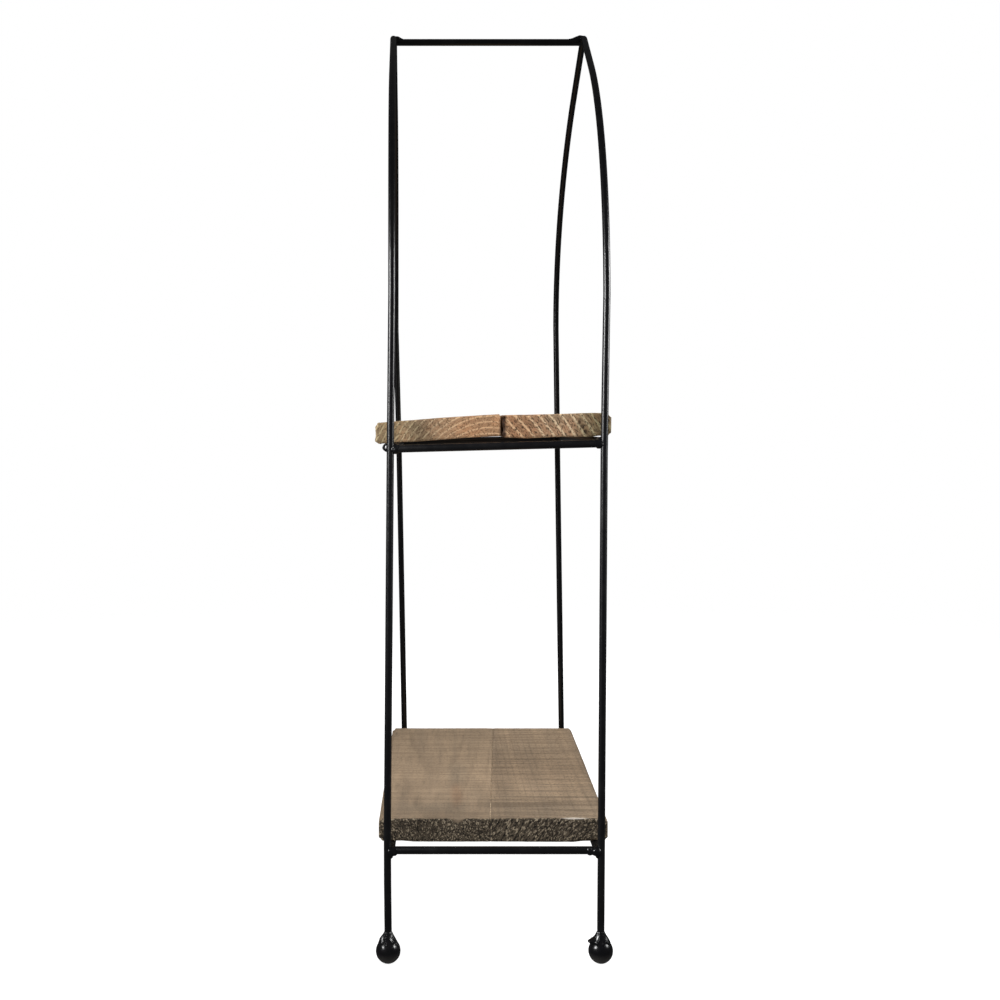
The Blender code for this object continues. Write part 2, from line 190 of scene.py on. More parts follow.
def black_paint(name, roughness, peel):
    """Sprayed black paint: a faint orange peel, soft runs, a thin grey bloom, and low down dust with a
    painted reflection of the floor.
    """
    material, shader, place = new_finish(name, roughness)
    coat = mixed(ramp(cloud(place, *PAINT_NOISES["bloom"]), *BLOOM_LEVELS), BLACK_COAT, GREY_BLOOM)
    # Low down, over the lower half of the balls, the colour turns a lighter grey-brown: dust, and a painted
    # reflection of the floor.
    low_down = 1 - ramp(along(place, "Z"), *DUST_AND_REFLECTION_HEIGHTS)
    dust_and_reflection = low_down * (DUST_AND_REFLECTION_EVEN + DUST_AND_REFLECTION_PATCHY * cloud(place, *PAINT_NOISES["dust_and_reflection"]))
    feed(mixed(dust_and_reflection, coat, FLOOR_DUST_AND_REFLECTION), shader, "Base Color")
    feed(roughness + ROUGHNESS_SPREAD * wander(place, *PAINT_NOISES["roughness"]), shader, "Roughness")
    skin = cloud(place, *PAINT_NOISES["runs"]) + PEEL_SHARE * cloud(place, *PAINT_NOISES["peel"])
    relief(skin, shader, peel)
    return material


def let_go():
    """Leave edit mode and let go of every object."""
    if bpy.context.object and bpy.context.object.mode == "EDIT":
        bpy.ops.object.mode_set(mode="OBJECT")
    bpy.ops.object.select_all(action="DESELECT")


def take(piece):
    """Select one object alone and make it active."""
    let_go()
    piece.select_set(True)
    bpy.context.view_layer.objects.active = piece


def settle(piece):
    """Put a piece's place, turn and size into its mesh."""
    take(piece)
    bpy.ops.object.transform_apply(location=True, rotation=True, scale=True)


def add_piece(piece, name, material, slot, *nodes):
    """Name a finished piece, give it its finish, and put it on the frame in place of its CAD nodes."""
    settle(piece)
    piece.name = name
    piece.data.name = name
    piece.data.materials.clear()
    piece.data.materials.append(material)
    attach(piece, "root")
    if nodes:
        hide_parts(*nodes)


def middle(points):
    """Centre of the box round some points."""
    return Vector([(min(p[axis] for p in points) + max(p[axis] for p in points)) / 2 for axis in range(3)])


def leg_places(node, end):
    """Heights and sideways places of a leg's centre line at each bend of its CAD node, from the foot up."""
    rings = {}
    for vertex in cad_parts[node].data.vertices:
        if vertex.co.y * ENDS[end] > 0 and vertex.co.z < LEG_STRAIGHT_HEIGHT + ROD_RADIUS:
            rings.setdefault(round(vertex.co.z / ROD_RADIUS / RING_SPACING), []).append(vertex.co)
    return [(middle(ring).z, middle(ring).x) for key, ring in sorted(rings.items())]


def sideways(places, apex, height):
    """Sideways place of a leg's centre line at a height. Above its listed places it leans ever faster."""
    for (low, low_x), (high, high_x) in zip(places, places[1:]):
        if height <= high:
            return low_x + (high_x - low_x) * (height - low) / (high - low)
    last_height, last_x = places[-1]
    climb = (height - last_height) / (apex.z - last_height)
    return last_x + (apex.x - last_x) * climb**2


satin_black = black_paint("satin_black_paint", SATIN_ROUGHNESS, SATIN_PEEL)
for side in SIDES:
    node = side + "_arch"
    low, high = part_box(node)
    half_pitch = high.y - ROD_RADIUS
    points = [vertex.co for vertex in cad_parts[node].data.vertices]
    apex_height = high.z - ROD_RADIUS
    apex = Vector((middle([point for point in points if point.z > apex_height]).x, 0, apex_height))
    leg_lift = (LEG_STRAIGHT_HEIGHT - low.z) / LEG_PIECES
    arc_reach = ARCH_RADIUS * (1 - math.cos(ARCH_TURN))
    bend_reach = APEX_BEND_RADIUS * math.cos(ARCH_TURN)
    tail = (half_pitch - arc_reach - bend_reach) / math.sin(ARCH_TURN)
    tail_reach = tail * math.sin(ARCH_TURN)
    tail_rise = tail * math.cos(ARCH_TURN)
    let_go()
    bpy.ops.mesh.primitive_circle_add(
        vertices=ROD_FACETS, radius=ROD_RADIUS + PAINT_COAT, fill_type="NGON",
        location=(0, -half_pitch, low.z),
    )
    bpy.ops.object.mode_set(mode="EDIT")
    bpy.ops.mesh.select_all(action="SELECT")
    for step in range(LEG_PIECES):
        bpy.ops.mesh.extrude_region_move(TRANSFORM_OT_translate={"value": (0, 0, leg_lift)})
    near_centre = (0, ARCH_RADIUS - half_pitch, LEG_STRAIGHT_HEIGHT)
    bpy.ops.mesh.spin(steps=ARC_STEPS, angle=ARCH_TURN, center=near_centre, axis=(1, 0, 0))
    bpy.ops.mesh.extrude_region_move(TRANSFORM_OT_translate={"value": (0, tail_reach, tail_rise)})
    bend_centre = (0, 0, apex.z - APEX_BEND_RADIUS)
    bpy.ops.mesh.spin(steps=BEND_STEPS, angle=math.pi - 2 * ARCH_TURN, center=bend_centre, axis=(1, 0, 0))
    bpy.ops.mesh.extrude_region_move(TRANSFORM_OT_translate={"value": (0, tail_reach, -tail_rise)})
    far_centre = (0, half_pitch - ARCH_RADIUS, LEG_STRAIGHT_HEIGHT)
    bpy.ops.mesh.spin(steps=ARC_STEPS, angle=ARCH_TURN, center=far_centre, axis=(1, 0, 0))
    for step in range(LEG_PIECES):
        bpy.ops.mesh.extrude_region_move(TRANSFORM_OT_translate={"value": (0, 0, -leg_lift)})
    bpy.ops.mesh.select_all(action="SELECT")
    bpy.ops.mesh.remove_doubles(threshold=MERGE_DISTANCE)
    bpy.ops.mesh.normals_make_consistent(inside=False)
    bpy.ops.object.mode_set(mode="OBJECT")
    arch = bpy.context.object
    settle(arch)
    near_places = leg_places(node, "near")
    far_places = leg_places(node, "far")
    for vertex in arch.data.vertices:
        places = near_places if vertex.co.y < 0 else far_places
        vertex.co.x += sideways(places, apex, vertex.co.z)
    bpy.ops.object.shade_smooth_by_angle(angle=SHARP_ANGLE)
    add_piece(arch, node + "_rod", satin_black, "satin_black_paint", node)

# The straight rods, cut to length from the same 6 mm steel: the bar between the two points, the four cross
# bars between the legs and the four rails that carry the boards. Each is welded at both ends.
EDGE_EASE = 0.0003
EASE_SEGMENTS = 2
BAR_COAT = 0.0004
CROSS_RODS = ("near_bar", "far_bar", "left_rail", "right_rail")
STRAIGHT_RODS = ["top_bar"] + [f"{level}_{rod}" for level in ("lower", "upper") for rod in CROSS_RODS]


def rod_ends(node):
    """Centres of the two sawn ends of a straight rod, read from its CAD node."""
    low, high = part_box(node)
    longest = max(range(3), key=lambda axis: high[axis] - low[axis])
    points = [vertex.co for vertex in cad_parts[node].data.vertices]
    levels = (low[longest], high[longest])
    return [middle([p for p in points if abs(p[longest] - level) < ROD_RADIUS]) for level in levels]


def add_length(start, end, radius):
    """Add a length of round rod between two points."""
    let_go()
    bpy.ops.mesh.primitive_cylinder_add(
        vertices=ROD_FACETS, radius=radius, depth=(end - start).length, location=(start + end) / 2,
        rotation=(end - start).to_track_quat("Z", "Y").to_euler(),
    )
    return bpy.context.object


for node in STRAIGHT_RODS:
    rod = add_length(*rod_ends(node), ROD_RADIUS + BAR_COAT)
    bpy.ops.object.mode_set(mode="EDIT")
    bpy.ops.mesh.select_all(action="SELECT")
    bpy.ops.mesh.bevel(offset=EDGE_EASE, segments=EASE_SEGMENTS, affect="EDGES")
    bpy.ops.object.mode_set(mode="OBJECT")
    bpy.ops.object.shade_smooth_by_angle(angle=SHARP_ANGLE)
    add_piece(rod, node + "_rod", satin_black, "satin_black_paint", node)

# The ball feet: solid steel balls, one under each leg, painted with the frame. Under the spray they are
# glossier than the rods, and the floor has worn a small flat on each.
BALL_CUTS = 5
BALL_DENTS = (0.00012, 180)
GLOSS_ROUGHNESS = 0.24
GLOSS_PEEL = 0.00006


def reshape(piece, rule):
    """Move every point of a piece to where a rule on its place and facing says."""
    points = [(vertex.co.copy(), vertex.normal.copy()) for vertex in piece.data.vertices]
    for vertex, (spot, facing) in zip(piece.data.vertices, points):
        vertex.co = rule(spot, facing)
    piece.data.update()


def lumps(spot, depth, per_metre):
    """How far a lumpy skin stands out or in at a spot, at most depth, with so many lumps to a metre."""
    return depth * noise.noise(spot * per_metre)


def dented(spot, facing):
    """A ball's skin with slight dents, cut flat at the floor."""
    moved = spot + facing * lumps(spot, *BALL_DENTS)
    moved.z = max(moved.z, cad_box[0].z)
    return moved


gloss_black = black_paint("gloss_black_paint", GLOSS_ROUGHNESS, GLOSS_PEEL)
for end in ENDS:
    for side in SIDES:
        node = f"{end}_{side}_foot"
        low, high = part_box(node)
        radius = (high.x - low.x) / 2
        let_go()
        bpy.ops.mesh.primitive_ico_sphere_add(
            subdivisions=BALL_CUTS, radius=radius + PAINT_COAT,
            location=((low.x + high.x) / 2, (low.y + high.y) / 2, high.z - radius),
        )
        ball = bpy.context.object
        settle(ball)
        reshape(ball, dented)
        bpy.ops.object.shade_smooth()
        add_piece(ball, node + "_ball", gloss_black, "gloss_black_paint", node)

# The collars over the balls: each leg is set on its ball with a fat weld, ground a little and painted. The
# weld runs down over the ball in narrow ridges, with a nub where the last drop froze.
COLLAR_FACETS = 64
COLLAR_ROUNDING = 2
COLLAR_HEIGHT = 0.0118

# The collar's outline: level over its foot, and radius.
COLLAR_PROFILE = [
    (-0.0012, 0.0078), (0.0, 0.0085), (0.0018, 0.0079), (0.004, 0.0069), (0.0062, 0.0057), (0.0082, 0.0045),
    (0.01, 0.0036), (0.0118, 0.0031),
]

# The runs: how many, how deep, how narrow, how far they wander sideways, and their share beside the ridges.
RUN_COUNT = 9
RUN_DEPTH = 0.0007
RUN_NARROWNESS = 1.5
RUN_SINK = 0.3
RUN_WANDER = 0.5
RUN_WANDERS_PER_COLLAR = 2
RUN_SHARE = 1.4
RIDGE_SHARE = 0.7
RIDGES_AROUND = 1.6
RIDGES_UP = 0.9

# Where the runs fade out above and come in below, in shares of the collar's height, and how fast they come
# in. Each collar starts its noise elsewhere, by the length of its name times the stride.
RUN_TOP = 1.15
RUN_FOOT = -0.12
RUN_FOOT_STEEPNESS = 5
SEED_STRIDE = 3.1

# The nubs: how high up the collar, towards how many degrees, how far out, and how tall. All are as wide.
NUBS = {"near_left": (0.5, 188, 0.0009, 0.2), "near_right": (0.3, 190, 0.0046, 0.16)}
PLAIN_NUB = (0.4, 60, 0.0008, 0.2)
NUB_DEGREES = 26


def apply_modifiers(piece):
    take(piece)
    for modifier in list(piece.modifiers):
        bpy.ops.object.modifier_apply(modifier=modifier.name)


def within_share(value):
    return max(0.0, min(1.0, value))


for end in ENDS:
    for side in SIDES:
        node = f"{end}_{side}_foot_weld"
        low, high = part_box(node)
        centre = (low + high) / 2
        foot = high.z - COLLAR_HEIGHT
        height, reach = COLLAR_PROFILE[0]
        let_go()
        bpy.ops.mesh.primitive_circle_add(
            vertices=COLLAR_FACETS, radius=reach, fill_type="NGON",
            location=(centre.x, centre.y, foot + height),
        )
        bpy.ops.object.mode_set(mode="EDIT")
        bpy.ops.mesh.select_all(action="SELECT")
        for level, goal in COLLAR_PROFILE[1:]:
            bpy.ops.mesh.extrude_region_move(TRANSFORM_OT_translate={"value": (0, 0, level - height)})
            bpy.ops.transform.resize(
                value=(goal / reach, goal / reach, 1), center_override=(centre.x, centre.y, foot + level)
            )
            reach, height = goal, level
        bpy.ops.mesh.select_all(action="SELECT")
        bpy.ops.mesh.normals_make_consistent(inside=False)
        bpy.ops.object.mode_set(mode="OBJECT")
        collar = bpy.context.object
        settle(collar)
        rounding = collar.modifiers.new("round", "SUBSURF")
        rounding.levels = rounding.render_levels = COLLAR_ROUNDING
        apply_modifiers(collar)
        seed = Vector((len(node) * SEED_STRIDE, ord(side[0]), ord(end[0])))
        nub_climb, nub_turn, nub_reach, nub_height = NUBS.get(f"{end}_{side}", PLAIN_NUB)

        def dripping(spot, facing):
            """A collar's skin with its ridges, runs and nub. What lies near its axis stays as it is."""
            out = Vector((spot.x - centre.x, spot.y - centre.y, 0))
            if out.length < ROD_RADIUS / 2:
                return spot
            turn = math.atan2(out.y, out.x)
            climb = (spot.z - foot) / COLLAR_HEIGHT
            fade = within_share(RUN_TOP - climb) * within_share((climb - RUN_FOOT) * RUN_FOOT_STEEPNESS)
            bent = turn + RUN_WANDER * noise.noise(Vector((0, 0, climb * RUN_WANDERS_PER_COLLAR)) + seed)
            around = Vector((math.cos(bent), math.sin(bent), 0)) * RIDGES_AROUND
            ridges = noise.noise(around + Vector((0, 0, climb * RIDGES_UP)) + seed)
            runs = (1 - abs(math.sin(bent * RUN_COUNT / 2 + seed.x))) ** RUN_NARROWNESS - RUN_SINK
            away = (math.degrees(turn) - nub_turn + 180) % 360 - 180
            nub = nub_reach * math.exp(-((away / NUB_DEGREES) ** 2) - ((climb - nub_climb) / nub_height) ** 2)
            drips = fade * RUN_DEPTH * (RIDGE_SHARE * ridges + RUN_SHARE * runs)
            return spot + out.normalized() * (drips + nub)

        reshape(collar, dripping)
        bpy.ops.object.shade_smooth()
        add_piece(collar, node + "_collar", gloss_black, "gloss_black_paint", node)

# The weld beads at the corners of both shelf frames. At each leg a short bar end and a rail end are run
# together with one lumpy bead, which leaves a soft fillet in the inner corner.
BEAD_RADIUS = 0.0039
BEAD_VOXEL = 0.00034
BALL_OF_BEAD_CUTS = 3
CORNER_SMOOTHING = 9
SMOOTHING_SHARE = 0.5
CORNER_LUMPS = (0.0007, 300)

# The bead hangs a little below the rods. On the lower frame it is fatter, and stands further out.
BEAD_SAG = {"lower": 0.0007, "upper": 0.0003}
BEAD_SWELL = {"lower": 0.0005, "upper": 0.0}

# How far along the bar and the rail the balls of weld sit, and how far the last one runs along the bar.
ON_BAR = 0.0008
ON_RAIL = 0.0004
SHORT_BEAD = 0.003
LONG_BEAD = 0.0066
BAR_BALL_STRETCH = (1.15, 1, 1.02)
RUN_BALL_STRETCH = (1.1, 1, 1)
RAIL_BALL_STRETCH = (1, 1.15, 1)

# Thin sleeves of weld round the bar, the rail and the leg.
SLEEVE_RADIUS = 0.0033
SLEEVE_BACK = 0.002
SLEEVE_REACH = 0.005
LEG_SLEEVE_LENGTH = 0.0085

# The fillet under the bar, in the corner to the leg. Only the lower frame has it.
FILLET_RADIUS = 0.0024
FILLET_OUT = 0.0002
FILLET_DROP = 0.0042
FILLET_STRETCH = (1, 1, 1.2)


def add_ball(place, radius, stretch=(1, 1, 1)):
    let_go()
    bpy.ops.mesh.primitive_ico_sphere_add(
        subdivisions=BALL_OF_BEAD_CUTS, radius=radius, location=place, scale=stretch
    )
    return bpy.context.object


def run_together(pieces, smoothing):
    """Fuse overlapping shapes into one skin with soft inner corners."""
    take(pieces[0])
    for piece in pieces:
        piece.select_set(True)
    bpy.ops.object.join()
    fused = bpy.context.object
    settle(fused)
    remesh = fused.modifiers.new("fuse", "REMESH")
    remesh.mode = "VOXEL"
    remesh.voxel_size = BEAD_VOXEL
    remesh.use_smooth_shade = True
    soften = fused.modifiers.new("soften", "SMOOTH")
    soften.factor = SMOOTHING_SHARE
    soften.iterations = smoothing
    apply_modifiers(fused)
    return fused


def roughen(piece, depth, per_metre):
    """Make a piece's skin lumpy."""
    reshape(piece, lambda spot, facing: spot + facing * lumps(spot, depth, per_metre))


for level in ("lower", "upper"):
    for end, end_sign in ENDS.items():
        for side, side_sign in SIDES.items():
            node = f"{level}_{end}_{side}_weld"
            low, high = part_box(node)
            centre = (low + high) / 2
            bar_end = rod_ends(f"{level}_{end}_bar")[side_sign > 0]
            rail_end = rod_ends(f"{level}_{side}_rail")[end_sign > 0]
            inward = Vector((-side_sign, 0, 0))
            into = Vector((0, -end_sign, 0))
            up = Vector((0, 0, 1))
            sag = up * -BEAD_SAG[level]
            swell = BEAD_SWELL[level]
            run = LONG_BEAD if (level, side) == ("lower", "right") else SHORT_BEAD
            on_bar = bar_end + inward * ON_BAR + sag - into * swell
            bar_run = bar_end + inward * run + sag / 2 - into * swell
            half_sleeve = up * LEG_SLEEVE_LENGTH / 2
            parts = [
                add_ball(on_bar, BEAD_RADIUS + swell, BAR_BALL_STRETCH),
                add_ball(bar_run, SLEEVE_RADIUS + swell, RUN_BALL_STRETCH),
                add_ball(rail_end + into * ON_RAIL + sag, BEAD_RADIUS, RAIL_BALL_STRETCH),
                add_length(bar_end - inward * SLEEVE_BACK, bar_end + inward * SLEEVE_REACH, SLEEVE_RADIUS),
                add_length(rail_end - into * SLEEVE_BACK, rail_end + into * SLEEVE_REACH, SLEEVE_RADIUS),
                add_length(centre - half_sleeve, centre + half_sleeve, SLEEVE_RADIUS),
            ]
            if level == "lower":
                corner = bar_end - inward * FILLET_OUT - up * FILLET_DROP
                parts.append(add_ball(corner, FILLET_RADIUS, FILLET_STRETCH))
            bead = run_together(parts, CORNER_SMOOTHING)
            roughen(bead, *CORNER_LUMPS)
            add_piece(bead, node + "_bead", gloss_black, "gloss_black_paint", node)

# The weld beads at the two points of the arches. Each runs from the bent rod down onto the end of the top
# bar, the right one in a long tail. It is laid on as a row of drops, which shrink along the bar.
APEX_BEAD_RADIUS = 0.0042
APEX_BEAD_SHRINK = 0.001
APEX_RUN = {"left": 0.006, "right": 0.0125}
APEX_RISE = {"left": 0.002, "right": 0.0028}
APEX_FALL_POWER = 1.3
APEX_DROPS = 5
APEX_OUT = 0.002
APEX_STRETCH = (1, 1.25, 0.95)
APEX_SMOOTHING = 8
APEX_LUMPS = (0.0006, 230)
for side, side_sign in SIDES.items():
    node = f"apex_{side}_weld"
    bar_end = rod_ends("top_bar")[side_sign > 0]
    inward = Vector((-side_sign, 0, 0))
    rise = Vector((0, 0, APEX_RISE[side]))
    parts = [add_ball(bar_end + rise - inward * APEX_OUT, APEX_BEAD_RADIUS, APEX_STRETCH)]
    for drop in range(APEX_DROPS + 1):
        share = drop / APEX_DROPS
        place = bar_end + inward * APEX_RUN[side] * share + rise * (1 - share) ** APEX_FALL_POWER
        parts.append(add_ball(place, APEX_BEAD_RADIUS - APEX_BEAD_SHRINK * share))
    bead = run_together(parts, APEX_SMOOTHING)
    roughen(bead, *APEX_LUMPS)
    add_piece(bead, node + "_bead", gloss_black, "gloss_black_paint", node)

# The lower shelf: two wide boards, rough from the saw, stained grey-brown and glued edge to edge. The saw
# left fine lines across both, and the sawn ends are coloured dark.
BOARD_VOXEL = 0.00105
BOARD_NEAR_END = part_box("lower_shelf_left_plank")[0].y
BOARD_FAR_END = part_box("lower_shelf_left_plank")[1].y

# The boards' skin: depth and count per metre of each kind of lump. The saw's strokes are counted along each
# axis. A facing counts as a flat face's from FLAT_FACING up, and as a worn edge's below EDGE_FACING. An edge
# that faces its glued side by GLUED_FACING or more stays whole.
HOLLOWS = (0.00025, 22)
DIMPLES = (0.0001, 150)
END_TEARS = (0.0003, 420)
EDGE_CHIPS = (0.0006, 60)
EDGE_NIBBLES = (0.0003, 300)
EDGE_LOSS = 0.00006
SAW_STROKES = (Vector((5, 210, 5)), Vector((9, 60, 9)))
LEFT_SAW_DEPTH = 0.00008
RIGHT_SAW_DEPTH = 0.00014
FLAT_FACING = 0.8
EDGE_FACING = 0.93
GLUED_FACING = 0.2

# Warp at the near end: place across the shelf, and how far the top and the underside lie off true there. It
# fades out over this length.
WARP_LENGTH = 0.16
LOWER_WARP = [
    (-0.104, 0.001, 0.0), (-0.08, 0.0012, 0.0), (-0.07, 0.0012, -0.0009), (0.07, 0.0012, -0.0009),
    (0.08, 0.0012, 0.0),
]

# Chips: place, reach and depth.
LOWER_LEFT_CHIPS = [((-0.0315, -0.174, 0.1182), 0.009, 0.0012)]
LOWER_RIGHT_CHIPS = [((0.09, -0.174, 0.0993), 0.006, 0.001)]

# How the wood's figures stretch along X, Y and Z: slow bends and fibres run along the board, the saw's path
# across it.
ACROSS_GRAIN = (1, 0, 1)
SLOW_GRAIN = (1, 0.16, 1)
FIBRE_GRAIN = (1, 0.018, 1)
SAW_PATH = (0.035, 1, 0.035)

# Noises of the wood: patches per metre, detail and roughness.
WOOD_NOISES = {
    "slow_bend": (16, 2, 0.5), "quick_bend": (90, 2, 0.5), "streaks": (420, 4, 0.65),
    "bands": (70, 3, 0.5), "late_patches": (30, 2, 0.5), "fuzz": (420, 2, 0.7),
    "saw_lines": (320, 2, 0.6), "saw_waves": (58, 2, 0.5), "end_colour_edge": (400, 2, 0.5),
    "end_patches": (45, 3, 0.5), "mark_edge": (60, 3, 0.5),
}

# Between which two levels of its noise, or of the way from ring to ring, each figure comes in.
LEVELS = {
    "late_wood_in": (0.62, 0.8), "late_wood_out": (0.9, 1.0), "late_patches": (0.35, 0.6),
    "bands": (0.35, 0.68), "streaks": (0.3, 0.5), "fuzz": (0.34, 0.5), "saw_lines": (0.38, 0.62),
    "saw_waves": (0.35, 0.65), "end_patches": (0.35, 0.65), "flecks": (0.53, 0.62), "grit": (0.4, 0.48),
    "mark": (0.3, 1.1),
}

# How strongly each figure colours the wood, and how high it stands in the relief.
STRENGTHS = {
    "late_wood": 0.3, "streaks": 0.25, "fuzz": 0.7, "saw": 0.7, "saw_lines": 0.85, "saw_waves": 0.15,
    "grit": 0.9,
}
HEIGHTS = {"streaks": 0.35, "saw_lines": 0.5, "pores": 0.6, "late_wood": 0.15}
WOOD_RELIEF = 0.0006
WOOD_RELIEF_STRENGTH = 0.7
SLOW_BEND = 0.0045
QUICK_BEND = 0.0012
MARK_FRAY = 0.9

# The wood's dull shine, and how rough it is between and in its streaks.
WOOD_SHINE = 0.2
WOOD_ROUGHNESS = 0.5
STREAK_ROUGHNESS = 0.3

# How deep the colour of the sawn ends reaches, from where it starts to fade, and how uneven its edge is.
END_COLOUR_DEPTH = 0.0014
END_COLOUR_FULL = 0.0004
END_COLOUR_FRAY = 0.001

# Pores on the sawn ends: how many to a metre, and how far round the heart a turn of one radian counts for,
# in metres: the less, the more the pores are drawn out along the rings. Grit is finer by a share.
FINE_GRAIN = (600, 0.085)
SHORT_GRAIN = (700, 0.09)
SLANT_GRAIN = (720, 0.06)
PORE_DETAIL = 2
PORE_ROUGHNESS = 0.6
GRIT_FINENESS = 1.2

LOWER_SHADES = {
    "light": (0.475, 0.345, 0.225, 1), "dark": (0.4, 0.295, 0.197, 1), "late_wood": (0.28, 0.205, 0.137, 1),
    "streak": (0.13, 0.093, 0.062, 1),
}
# The sawn ends of the lower boards are coloured far darker than those of the upper boards.
LOWER_END_SHADES = {
    "light": (0.102, 0.077, 0.052, 1), "dark": (0.158, 0.122, 0.084, 1), "fleck": (0.61, 0.49, 0.34, 1),
    "grit": (0.012, 0.01, 0.008, 1), "ring": (0.035, 0.027, 0.019, 1),
}
GREY_TINT = (0.76, 0.8, 0.84, 1)
PINK_TINT = (1.0, 0.88, 0.82, 1)
# Painted shade darkens the front of the lower boards and the middle of the right one, and painted light
# brightens the rear of the right one.
FRONT_PAINTED_SHADE = (0.64, 0.65, 0.66, 1)
MIDDLE_PAINTED_SHADE = (0.83, 0.82, 0.81, 1)
REAR_PAINTED_LIGHT = (1.19, 1.18, 1.17, 1)
PALE_NICK = (0.8, 0.74, 0.66, 1)

# Marks on the boards, which have greyed, darkened, nicked or cracked in places, with painted shade over the
# front of the lower boards and the middle of the lower right one, and painted light over its rear: place,
# half its size each way, shade, strength, and how it mixes with the wood.
LOWER_LEFT_MARKS = [
    ((-0.0327, -0.024, 0.118), (0.013, 0.06, 0.05), GREY_TINT, 0.6, "MULTIPLY"),
    ((-0.032, -0.1, 0.118), (0.008, 0.05, 0.05), PINK_TINT, 0.7, "MULTIPLY"),
    ((-0.05, -0.14, 0.118), (0.05, 0.02, 0.05), GREY_TINT, 0.5, "MULTIPLY"),
    # Painted shade over the front.
    ((-0.05, -0.2, 0.118), (0.2, 0.16, 0.05), FRONT_PAINTED_SHADE, 1.0, "MULTIPLY"),
]
LOWER_RIGHT_MARKS = [
    ((0.05, -0.15, 0.118), (0.07, 0.03, 0.05), GREY_TINT, 0.3, "MULTIPLY"),
    # Painted shade over the front and the middle, and painted light over the rear.
    ((0.05, -0.2, 0.118), (0.2, 0.14, 0.05), FRONT_PAINTED_SHADE, 0.95, "MULTIPLY"),
    ((0.05, -0.01, 0.118), (0.12, 0.08, 0.05), MIDDLE_PAINTED_SHADE, 0.9, "MULTIPLY"),
    ((0.05, 0.16, 0.118), (0.12, 0.09, 0.05), REAR_PAINTED_LIGHT, 0.9, "MULTIPLY"),
    ((0.072, -0.173, 0.1193), (0.015, 0.0011, 0.0016), PALE_NICK, 0.5, "MIX"),
]


def between(places, x):
    """Values for a place across a board, read between the two listed places beside it."""
    for (low, *first), (high, *second) in zip(places, places[1:]):
        if x <= high:
            share = max(0.0, (x - low) / (high - low))
            return [one + (two - one) * share for one, two in zip(first, second)]
    return places[-1][1:]


def weathered_board(node, saw_depth, chips, warp, glued_side=0):
    """A fine-meshed copy of a board, with saw marks, hollows, torn ends, worn edges, chips and warp."""
    take(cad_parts[node])
    bpy.ops.object.duplicate()
    board = bpy.context.object
    board.data = board.data.copy()
    take(board)
    bpy.ops.object.mode_set(mode="EDIT")
    bpy.ops.mesh.select_all(action="SELECT")
    bpy.ops.mesh.remove_doubles(threshold=MERGE_DISTANCE)
    bpy.ops.object.mode_set(mode="OBJECT")
    remesh = board.modifiers.new("fine", "REMESH")
    remesh.mode = "VOXEL"
    remesh.voxel_size = BOARD_VOXEL
    remesh.use_smooth_shade = True
    apply_modifiers(board)
    low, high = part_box(node)

    def weathered(spot, facing):
        shift = lumps(spot, *HOLLOWS) + lumps(spot, *DIMPLES)
        if abs(facing.z) > FLAT_FACING:
            for strokes in SAW_STROKES:
                shift += lumps(spot, saw_depth, strokes)
        elif abs(facing.y) > FLAT_FACING:
            shift += lumps(spot, *END_TEARS)
        on_edge = max(abs(facing.x), abs(facing.y), abs(facing.z)) < EDGE_FACING
        if on_edge and facing.x * glued_side < GLUED_FACING:
            shift -= max(0.0, lumps(spot, *EDGE_CHIPS) + EDGE_LOSS) + abs(lumps(spot, *EDGE_NIBBLES))
        for place, reach, depth in chips:
            nearness = (spot - Vector(place)).length / reach
            if nearness < 1:
                shift -= depth * (1 - nearness**2) ** 2
        moved = spot + facing * shift
        top, under = between(warp, spot.x)
        height = (spot.z - low.z) / (high.z - low.z)
        fade = max(0.0, 1 - (spot.y - low.y) / WARP_LENGTH)
        moved.z += fade * (under + (top - under) * height)
        return moved

    reshape(board, weathered)
    return board


def stretched(place, by):
    """A place with its figure drawn out along the axes."""
    return place.node("ShaderNodeVectorMath", {0: place, 1: by}, operation="MULTIPLY")


def distance(place):
    """How far a place lies from the middle."""
    return place.node("ShaderNodeVectorMath", {0: place}, output="Value", operation="LENGTH")


def placed(place, centre, turn=(0, 0, 0), size=(1, 1, 1)):
    """A place as seen from a turned centre, and measured in a size of its own."""
    sockets = {"Vector": place, "Location": centre, "Rotation": turn, "Scale": size}
    return place.node("ShaderNodeMapping", sockets, vector_type="TEXTURE")


